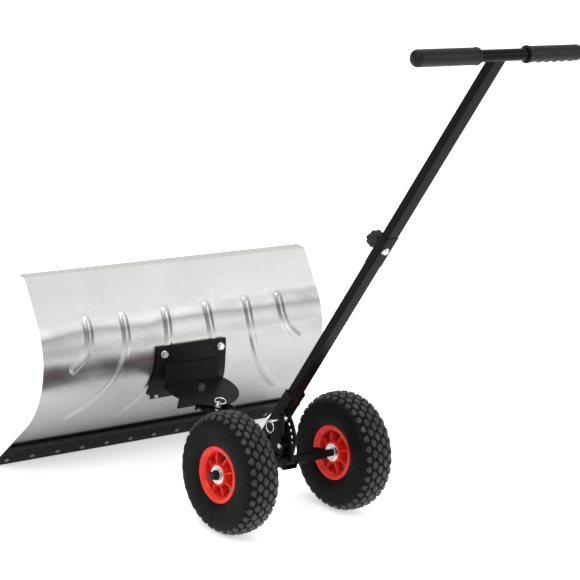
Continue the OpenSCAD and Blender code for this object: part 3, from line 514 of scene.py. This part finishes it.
def tyre_profile():
    """The tyre's closed section: the crown sunk to the tread's floor, the sides, bead lips and the inside."""
    tread_end, fade = 44.0, 7.0  # the sunk floor ends here, and rises to the side over this length
    side_x, flatten, shoulder = 39.0, 0.9, 37  # below the shoulder the side bulges less than the outline
    bead = 150
    out = []
    for degrees in range(-bead, bead + 1, 3):
        x, r = outline_point(math.radians(degrees))
        if r < RIM_R + 0.3:
            continue
        u = ALONG[int(abs(degrees) / FINE)]
        depth = TREAD * clamp((tread_end - u) / fade)
        if depth:
            x, r = on_outline(math.copysign(u, degrees), -depth)
        if shoulder < abs(degrees) < bead and abs(x) > side_x:
            x = math.copysign(side_x + (abs(x) - side_x) * flatten, x)
        out.append((x, r))
    lip = RIM_X - 2.2
    left = [(-lip + 4, RIM_R - 5), (-lip, RIM_R - 0.4)]
    right = [(-x, r) for x, r in reversed(left)]
    inside = [(lip - 8, BEAD_R + 2), (30, BELLY_R - 18), (33, BELLY_R), (26, BELLY_R + 22)]
    inside += [(0, TYRE_R - 10)] + [(-x, r) for x, r in reversed(inside)]
    return left + out + right + inside


def tyre_piece(side):
    """A tyre: its body, and rows of blocks that are staggered against each other."""
    centre, m = WHEEL_AT[side], Mesh()
    m.add(*revolve(tyre_profile(), centre, 1, 170))
    step = TAU / BLOCKS_ROUND
    for k in range(BLOCKS_ROUND):
        for row, (u, shape) in enumerate(BLOCK_ROWS):
            for s in (-1, 1):
                stagger = 0.5 * ((row + (s > 0)) % 2)
                mirrored = [(s * du, dv) for du, dv in shape]
                tread_block(m, centre, s * u, (k + stagger) * step, mirrored)
    piece = m.piece(side + "_tyre_body", side + "_wheel", "tyre_rubber", M_TYRE, M_TREAD)
    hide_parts(side + "_tyre")


def rim_rib(m, centre, s, angle):
    """A tapering bar with soft edges across a rim's web, from the hub to the dish."""
    outwards = Vector((0, math.cos(angle), math.sin(angle)))
    across = Vector((0, -math.sin(angle), math.cos(angle)))
    foot, foot_half, top_half = WEB_X - 1.0, 2.6, 1.7
    bm = bmesh.new()
    corners = []
    for r, top in ((HUB_R - 1.5, BEARING_X - 2.5), (BEAD_R - 6.0, RIM_X - 8.2)):
        for x, half in ((foot, foot_half), (top, top_half)):
            for q in (-1, 1):
                place = Vector((s * x, 0, 0)) + outwards * r + across * (q * half)
                corners.append(bm.verts.new(centre + place * MM))
    for face in ((0, 1, 3, 2), (4, 6, 7, 5), (0, 4, 5, 1), (2, 3, 7, 6), (0, 2, 6, 4), (1, 5, 7, 3)):
        bm.faces.new([corners[i] for i in face])
    bmesh.ops.bevel(bm, geom=bm.edges[:], offset=0.8 * MM, segments=2, affect="EDGES", profile=0.5)
    bm.verts.index_update()
    m.add([v.co for v in bm.verts], [tuple(v.index for v in face.verts) for face in bm.faces])
    bm.free()


def rim_piece(side, half, s):
    """One half of a rim: a rounded flange, a deep dish, a web with pockets between ribs, and the hub."""
    centre, m = WHEEL_AT[side], Mesh()
    seat = BEARING_R + 0.02
    inner_x, bore = BEARING_X - BEARING_LEN, BEARING_R - 6.5
    profile = [
        (0.2, BEAD_R - 4), (4, BEAD_R - 0.4), (RIM_X - 5, BEAD_R - 0.4),
        (RIM_X - 3.6, RIM_R - 2.4), (RIM_X - 2.6, RIM_R - 0.2), (RIM_X - 0.9, RIM_R - 0.1),
        (RIM_X - 0.1, RIM_R - 2.6), (RIM_X - 1.6, BEAD_R - 1.0), (RIM_X - 7.0, BEAD_R - 6.2),
        (WEB_X + 1.5, BEAD_R - 8.0), (WEB_X, HUB_R + 1.2), (BEARING_X - 1.2, HUB_R),
        (BEARING_X + 0.2, HUB_R - 1.6), (BEARING_X + 0.2, seat), (inner_x, seat), (inner_x, bore),
        (0.2, bore),
    ]
    m.add(*revolve(rounded(profile, 1.6), centre, s, 144))
    n_ribs = 8
    for k in range(n_ribs):
        rim_rib(m, centre, s, (k + 0.5) * TAU / n_ribs)
    piece = m.piece(f"{side}_rim_{half}_half", side + "_wheel", "red_plastic", M_RED)
    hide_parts(f"{side}_rim_{half}")


def bearing_piece(side):
    """Two bearings: an outer and an inner ring with round edges and a pressed shield sunk between them."""
    centre, m = WHEEL_AT[side], Mesh()
    inner, outer = BEARING_BORE + 3.0, BEARING_R - 3.4  # edges of the shield
    back, front = BEARING_X - BEARING_LEN, BEARING_X
    section = [
        (back, BEARING_BORE), (front, BEARING_BORE), (front, inner), (front - 0.9, inner + 0.2),
        (front - 0.9, inner + 1.2), (front - 0.5, inner + 2.0), (front - 0.5, outer - 1.6),
        (front - 0.9, outer - 0.6), (front - 0.9, outer), (front, outer + 0.1), (front, BEARING_R),
        (back, BEARING_R),
    ]
    for s in (-1, 1):
        m.add(*revolve(rounded(section, 0.45, 3), centre, s, 96))
    piece = m.piece(side + "_bearing_set", side + "_wheel", "bearing_steel", M_BEARING)
    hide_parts(side + "_bearings")


def valve_cap():
    """The tyre valve's cap in the left outer rim's top pocket: a small knurled cylinder on the stem."""
    out = -18
    rows = [
        (44.0, 3.2), (38.0, 3.2), (37.6, 3.9), (36.6, 4.1), (29.6, 3.7), (28.4, 3.2), (28.0, 2.2),
        (28.0, 0.1),
    ]

    def place(k, angle, height, r):
        if k % 2 and 29 < height < 37:
            r *= 0.95
        return WHEEL_AT["left"] + Vector((out + r * math.cos(angle), r * math.sin(angle), height)) * MM

    m = Mesh()
    m.add(*ringed(rows, 48, place))
    m.piece("left_valve_cap", "left_wheel", "tube_rubber", M_TUBE)


# ------------------------------------------------------------------ blade
# The blade's section in (y, z), as the CAD draws it: lengths in mm from the scraper's edge upwards
EDGE_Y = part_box("scraper_strip")[1].y / MM
HALF_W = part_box("blade")[1].x / MM
SHEET, STRIP_DROP = 1.5, 14.0  # the sheet's thickness, and how far the strip reaches below it
LOWER, LOWER_LEN, CURVE_R = math.radians(45.6), 170.0, 184.0
UPPER, UPPER_LEN = math.radians(55), 102.0
LIP, LIP_SLOPE, LIP_BEND = 25.0, math.radians(5), 2.2
DOWN = direction(-LOWER)  # down the straight lower part
BACK = Vector((-math.sin(LOWER), -math.cos(LOWER)))  # off its back
CURVE_START = Vector((EDGE_Y, 0)) - LOWER_LEN * DOWN
CURVE_AT = CURVE_START - CURVE_R * BACK
CURVE_FROM, CURVE_TO = 1.5 * math.pi - LOWER, math.pi / 2 + UPPER

# Each rib on the right half: its place as a share of the width, then its straight run, the bend's radius and
# turn in degrees, and its straight tail, in mm
RIBS = ((0.343, 18, 80, 52, 18), (0.22, 25, 200, 54, 48), (0.074, 12, 316, 43, 8))
RIB_H, RIB_HALF = 4.0, 10.0
RIB_TOP = CURVE_AT.y + 100


def sheet_line(step=2.4):
    """Points (y, z) in mm up the sheet's back and the outward normals there, with the lip's small bend."""
    points, normals = [], []

    def straight(start, along, length, count):
        for i in range(count):
            points.append(start + along * length * i / count)
            normals.append(left_of(along))

    def arc(centre, radius, angles):
        for angle in angles:
            points.append(centre + radius * direction(angle))
            normals.append(direction(angle))

    low = LOWER_LEN - STRIP_DROP
    straight(CURVE_START + DOWN * low, -DOWN, low, int(low / step))
    count = int(CURVE_R * (CURVE_FROM - CURVE_TO) / step)
    arc(CURVE_AT, CURVE_R, [CURVE_FROM + (CURVE_TO - CURVE_FROM) * i / count for i in range(count)])
    up, turn = direction(UPPER), UPPER - LIP_SLOPE
    cut = LIP_BEND * math.tan(turn / 2)
    start = CURVE_AT + CURVE_R * direction(CURVE_TO)
    straight(start, up, UPPER_LEN - cut, int((UPPER_LEN - cut) / step))
    bend_at = start + up * (UPPER_LEN - cut) - left_of(up) * LIP_BEND
    arc(bend_at, LIP_BEND, [CURVE_TO - turn * i / 5 for i in range(6)])
    lip = direction(LIP_SLOPE)
    for i in range(6):
        points.append(points[-1] + lip * (LIP - cut) / 6)
        normals.append(left_of(lip))
    return np.array([tuple(p) for p in points]), np.array([tuple(n) for n in normals])


def rib_paths():
    """The three ribs' centre lines in (x, z) mm on the right half."""
    paths = []
    for share, straight, radius, turn, tail in RIBS:
        x, bend_z = share * HALF_W * 2, RIB_TOP - straight
        points = [(x, RIB_TOP), (x, bend_z)]
        for i in range(1, 25):
            angle = math.pi + math.radians(turn) * i / 24
            points.append((x + radius + radius * math.cos(angle), bend_z + radius * math.sin(angle)))
        on = direction(1.5 * math.pi + math.radians(turn))
        points.append((points[-1][0] + tail * on.x, points[-1][1] + tail * on.y))
        paths.append(np.array(points))
    return paths


def rib_height(x, z):
    """Height in mm of the pressed ribs at |x|, z: a rounded ridge that fades at its ends."""
    x = np.abs(x)
    nearest = np.full(x.shape, 1e9)
    for path in rib_paths():
        for start, end in zip(path, path[1:]):
            d = end - start
            t = np.clip(((x - start[0]) * d[0] + (z - start[1]) * d[1]) / (d @ d), 0, 1)
            nearest = np.minimum(nearest, np.hypot(x - start[0] - t * d[0], z - start[1] - t * d[1]))
    crest, inside = 2.9, 0.985  # half the ridge's rounded top, and what keeps it inside the CAD's ribs
    rise = np.clip((RIB_HALF + 0.3 - nearest) / (RIB_HALF + 0.3 - crest), 0, 1)
    return RIB_H * inside * (rise * rise * (3 - 2 * rise)) ** 0.75


def blade_piece():
    """The sheet: its back with the pressed ribs, its front a thickness away, and the four narrow edges."""
    line, normal = sheet_line()
    across = np.linspace(-HALF_W, HALF_W, 305)
    rows, columns = len(line), len(across)
    x = np.repeat(across[None, :], rows, 0)
    y = np.repeat(line[:, :1], columns, 1)
    z = np.repeat(line[:, 1:], columns, 1)
    ribs = rib_height(x, z)
    faces_at = []
    for offset in (0.0, -SHEET):
        d = ribs + offset
        faces_at.append(np.stack([x, y + normal[:, :1] * d, z + normal[:, 1:] * d], -1).reshape(-1, 3))
    verts = np.concatenate(faces_at) * MM

    grid = np.arange(rows * columns).reshape(rows, columns)
    front = rows * columns  # a front point's number less its back point's
    quads = np.stack([grid[:-1, :-1], grid[1:, :-1], grid[1:, 1:], grid[:-1, 1:]], -1).reshape(-1, 4)
    faces = quads.tolist() + (quads[:, ::-1] + front).tolist()
    for border in (grid[:, 0], grid[:, -1], grid[0], grid[-1]):
        faces += [(p, q, q + front, p + front) for p, q in zip(border.tolist(), border[1:].tolist())]
    m = Mesh()
    m.add(verts.tolist(), faces)
    piece = m.piece("blade_sheet", "blade_unit", "galvanised_sheet", M_SHEET)
    sharp_by_angle(piece, 57.3)
    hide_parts("blade")


def strip_piece():
    """The rubber strip: a thick plain band above, fine upright ribs below, and a flat edge on the ground."""
    columns, pitch, ridge_h, plain = 610, 9.0, 0.9, 4.0
    rows = []
    for x in np.linspace(-HALF_W, HALF_W, columns):
        ridge = np.clip(1 - abs((x / pitch) % 1.0 - 0.5) / 0.26, 0, 1) ** 0.7
        rows.append((x, plain + ridge * ridge_h))

    def section(off):
        """Points as (distance up the blade, distance off its back), for a ribbed part this far off."""
        ground = off / math.tan(LOWER) + 0.02
        ribbed = [(0.03, 0.0), (ground, off), (30, off), (64, off), (69, plain)]
        band = [(71.5, 4.1), (72.6, 5.5), (74, 6.0), (92, 6.0), (93.6, 5.4), (94, 4.0), (94, 0.0)]
        return ribbed + band

    def place(k, angle, x, off):
        up, out = section(off)[k]
        point = Vector((EDGE_Y, 0)) - DOWN * up + BACK * out
        return Vector((x, point.x, max(point.y, 0.0))) * MM

    m = Mesh()
    m.add(*ringed(rows, len(section(plain)), place, first_cap=True))
    piece = m.piece("strip_body", "blade_unit", "strip_rubber", M_STRIP)
    sharp_by_angle(piece, 50)
    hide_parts("scraper_strip")


def mount_plate_piece():
    """The curved plate on the blade's back, with softened edges and the stepped lower corners."""
    thick, slice_h = 3.0, 2.5
    box_low, box_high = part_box("mount_plate")
    low, high, wide = box_low.z / MM, box_high.z / MM, box_high.x / MM
    top = wide - 11.5
    side = [(top, high), (top + 1, high - 44), (wide, low + 16), (wide - 12, low + 16), (wide - 17, low)]
    ring = side + [(-x, z) for x, z in reversed(side)]
    outline = rounded([(0, high)] + ring + [(0, high)], 2.0, 4)[:-1]

    bm = bmesh.new()
    face = bm.faces.new([bm.verts.new((x * MM, 0, z * MM)) for x, z in outline])
    for made in bmesh.ops.extrude_face_region(bm, geom=[face])["geom"]:
        if isinstance(made, bmesh.types.BMVert):
            made.co.y = -thick * MM
    rim = [e for e in bm.edges if len(e.link_faces) == 2 and e.calc_face_angle(0) > 1.0
           and abs(e.verts[0].co.y - e.verts[1].co.y) < 1e-6]
    bmesh.ops.bevel(bm, geom=rim, offset=0.6 * MM, segments=3, affect="EDGES", profile=0.5)
    for k in range(1, int((high - low) / slice_h)):
        cut_at = (0, 0, (low + k * slice_h) * MM)
        bmesh.ops.bisect_plane(bm, geom=bm.verts[:] + bm.edges[:] + bm.faces[:], plane_co=cut_at,
                               plane_no=(0, 0, 1))

    # The flat plate is wrapped on the curve, and its outer face keeps its heights
    plate_r = CURVE_R + RIB_H
    for v in bm.verts:
        angle = math.pi - math.asin((v.co.z / MM - CURVE_AT.y) / (plate_r + thick))
        point = CURVE_AT + (plate_r - v.co.y / MM) * direction(angle)
        v.co.y, v.co.z = point.x * MM, point.y * MM
    bmesh.ops.recalc_face_normals(bm, faces=bm.faces)
    mesh = bpy.data.meshes.new("mount_plate_body")
    bm.to_mesh(mesh)
    bm.free()
    piece = add_piece("mount_plate_body", mesh, "blade_unit", "black_frame", M_FRAME)
    sharp_by_angle(piece, 60)
    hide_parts("mount_plate")


# ------------------------------------------------------------------ handle pieces
TUBE_PITCH = math.radians(59.5)
HANDLE_FRONT = Vector((0, math.sin(TUBE_PITCH), math.cos(TUBE_PITCH)))
HANDLE_UP = Vector((0, -math.cos(TUBE_PITCH), math.sin(TUBE_PITCH)))
ACROSS = Vector((1, 0, 0))


def grip_piece(side, s, slack, shaped):
    """A moulded grip: a round flange, a body slack mm thinner and changed by shaped(), and a domed end."""
    low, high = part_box(side + "_grip")
    near, far = sorted((abs(low.x) / MM, abs(high.x) / MM))
    centre = (low + high) / 2
    flange = (high.z - low.z) / MM / 2
    body, bore, dome = flange - slack, 11.2, 11.0
    rows = [
        (near, bore), (near, flange - 1.6), (near + 0.5, flange - 0.6), (near + 1.6, flange - 0.02),
        (near + 4.4, flange - 0.02), (near + 5.8, flange - 0.7), (near + 6.6, body + 0.1),
    ]
    rows += [(x, body) for x in np.arange(near + 8, far - dome - 0.5, 1.6)]
    for i in range(15):
        angle = math.pi / 2 * i / 14
        rows.append((far - dome - 0.1 + dome * math.sin(angle), max(body * math.cos(angle) ** 0.8, 0.3)))

    def place(k, angle, x, r):
        y, z = math.cos(angle), math.sin(angle)
        r += shaped(x - near, far - x, y, z)
        return Vector((s * x * MM, centre.y + y * r * MM, centre.z + z * r * MM))

    m = Mesh()
    m.add(*ringed(rows, 72, place))
    piece = m.piece(side + "_grip_body", "handle", "grip_rubber", M_GRIP)
    sharp_by_angle(piece, 60)
    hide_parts(side + "_grip")


# What a grip's body gains in mm at the distance along it, with left_over to its end, in the direction (y, z)
def fine_rings(along, left_over, y, z):
    """Fine rings beside the flange."""
    return -0.35 * max(math.sin(TAU * along / 4.0), 0) if 10 < along < 26 else 0.0


def finger_waves(along, left_over, y, z):
    """Waves for the fingers on the underside, which fade towards both ends."""
    under = max(0.6 * y - 0.8 * z, 0) ** 0.8
    ease = clamp((along - 12) / 10) * clamp((left_over - 16) / 10)
    return under * ease * (2.3 * math.cos(TAU * (along - 13) / 21.0) - 0.9)


def knob_piece():
    """The clamp knob: six soft lobes, a waist by the tube and a slightly domed face."""
    low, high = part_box("clamp_knob")
    centre = (low + high) / 2
    wide, depth = 0.995, 0.96  # keep the rows below inside the CAD knob's width and length
    knob_r = box_size("clamp_knob")[0] / 2 * wide
    # Each row: its height in mm from the middle, its share of the radius, and how far the lobes show
    rows = [
        (-13.4, 0.46, 0.0), (-13.4, 0.66, 0.1), (-12.6, 0.72, 0.3), (-9.0, 0.78, 0.6), (-6.0, 0.90, 0.9),
        (-4.0, 0.97, 1.0), (8.0, 1.0, 1.0), (11.0, 0.985, 1.0), (12.6, 0.93, 0.95), (13.3, 0.84, 0.8),
        (13.45, 0.6, 0.4), (13.45, 0.3, 0.0), (13.45, 0.02, 0.0),
    ]
    lobes, dip = 6, 0.22

    def place(k, angle, height, share, lobe):
        r = knob_r * share * (1 - dip * lobe * (0.5 - 0.5 * math.cos(lobes * angle)) ** 1.6)
        spoke = ACROSS * r * math.cos(angle) + HANDLE_UP * r * math.sin(angle)
        return centre + (HANDLE_FRONT * height * depth + spoke) * MM

    m = Mesh()
    m.add(*ringed(rows, 120, place, first_cap=True))
    piece = m.piece("clamp_knob_body", "knob", "knob_plastic", M_KNOB)
    sharp_by_angle(piece, 70)
    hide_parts("clamp_knob")


# ------------------------------------------------------------------ the pieces made here
for side, out in (("left", -1), ("right", 1)):
    tyre_piece(side)
    rim_piece(side, "outer", out)
    rim_piece(side, "inner", -out)
    bearing_piece(side)
blade_piece()
strip_piece()
mount_plate_piece()
grip_piece("left", -1, 0.75, fine_rings)
grip_piece("right", 1, 1.5, finger_waves)
knob_piece()
valve_cap()


# ------------------------------------------------------------------ CAD nodes that keep their own shape
USUAL_BEVEL, THIN_BEVEL = 0.35, 0.12
BEVEL = {
    "push_beam": 1.2,
    "swivel_bracket": 0.5,
    "axle_caps": 0.8,
    "tube_sleeve": 0.5,
    "lower_tube": THIN_BEVEL,
    "upper_tube": THIN_BEVEL,
    "blade_pin_ring": THIN_BEVEL,
    "handle_pin_ring": THIN_BEVEL,
    "left_inner_tube": THIN_BEVEL,
    "right_inner_tube": THIN_BEVEL,
}
OWN_MATERIAL = {
    "strip_screws": M_DULL,
    "strip_nuts": M_DULL,
    "left_rim_screws": M_DULL,
    "right_rim_screws": M_DULL,
    "swivel_bolt": M_RING,
}
slot_of = {s["node"]: s["material_slot"] for s in frame["record"]["subparts"]}
for name, node in nodes.items():
    node.data.materials.clear()
    node.data.materials.append(OWN_MATERIAL.get(name, SLOT_MATERIAL[slot_of[name]]))
    if "custom_normal" in node.data.attributes:
        node.data.attributes.remove(node.data.attributes["custom_normal"])
    node.data.polygons.foreach_set("use_smooth", [True] * len(node.data.polygons))
    add_bevel(node, BEVEL.get(name, USUAL_BEVEL))


# ------------------------------------------------------------------ studio
def white_floor(half=30):
    """A floor that gives off a little light, so that it looks as white as the photograph's ground."""
    m = Mat("floor", Roughness=0.9, Specular_IOR_Level=0.0)
    m.shader.inputs["Emission Color"].default_value = (1, 1, 1, 1)
    m.shader.inputs["Emission Strength"].default_value = 0.5
    m.colour(m.ramp(m.noise(3.0), (0.3, 0.90), (0.7, 0.93)))
    mesh = bpy.data.meshes.new("floor")
    corners = [(-half, -half, 0), (half, -half, 0), (half, half, 0), (-half, half, 0)]
    mesh.from_pydata(corners, [], [(0, 1, 2, 3)])
    mesh.materials.append(m.material)
    floor = bpy.data.objects.new("floor", mesh)
    bpy.context.scene.collection.objects.link(floor)


def white_world():
    """A light grey sky that turns white towards the top."""
    world = bpy.data.worlds.new("studio")
    bpy.context.scene.world = world
    world.use_nodes = True
    tree = world.node_tree
    background = tree.nodes["Background"]
    background.inputs["Strength"].default_value = 0.95
    coords = tree.nodes.new("ShaderNodeTexCoord")
    split = tree.nodes.new("ShaderNodeSeparateXYZ")
    ramp = tree.nodes.new("ShaderNodeValToRGB")
    tree.links.new(coords.outputs["Generated"], split.inputs["Vector"])
    tree.links.new(split.outputs["Z"], ramp.inputs["Fac"])
    tree.links.new(ramp.outputs["Color"], background.inputs["Color"])
    for element, position, grey in zip(ramp.color_ramp.elements, (0.0, 0.9), (0.72, 1.0)):
        element.position = position
        element.color = (grey, grey, grey, 1)


def area_light(name, at, aim, size, power):
    light = bpy.data.lights.new(name, "AREA")
    light.shape = "RECTANGLE"
    light.size, light.size_y = size
    light.energy = power
    lamp = bpy.data.objects.new(name, light)
    bpy.context.scene.collection.objects.link(lamp)
    lamp.location = at
    lamp.rotation_mode = "QUATERNION"
    lamp.rotation_quaternion = (Vector(aim) - Vector(at)).to_track_quat("-Z", "Y")


white_floor()
white_world()
area_light("key", (-3.2, -1.6, 3.4), (0, 0, 0.35), (2.2, 2.2), 60)
area_light("fill", (2.6, -3.2, 2.2), (0, 0, 0.4), (2.5, 1.8), 30)
area_light("top", (0.2, 0.6, 4.0), (0, 0, 0.3), (3.0, 3.0), 40)

bpy.context.scene.view_settings.view_transform = "Standard"
bpy.context.scene.view_settings.look = "None"


# ------------------------------------------------------------------ camera
# Fitted to the photograph, in mm with y from the axle
TARGET = Vector((9.9, 55.8, 479.6))
EYE = Vector((-2685.2, -3035.1, 1589.0))
ROLL = math.radians(5.5)
LENS = 128.65


def photo_camera():
    """The photograph's view; its roll stands in for the tool's tip about its axle."""
    axle = Vector((0, AXLE_AT.y, 0))
    eye = EYE * MM + axle
    forward = (TARGET - EYE).normalized()
    level = forward.cross(Vector((0, 0, 1))).normalized()
    right = level * math.cos(ROLL) + level.cross(forward) * math.sin(ROLL)
    up = right.cross(forward)
    data = bpy.data.cameras.new("camera")
    data.lens = LENS
    data.sensor_width = 36.0
    camera = bpy.data.objects.new("camera", data)
    bpy.context.scene.collection.objects.link(camera)
    turn = Matrix((right, up, -forward)).transposed()
    camera.matrix_world = Matrix.Translation(eye) @ turn.to_4x4()
    bpy.context.scene.camera = camera


photo_camera()

bpy.context.view_layer.update()
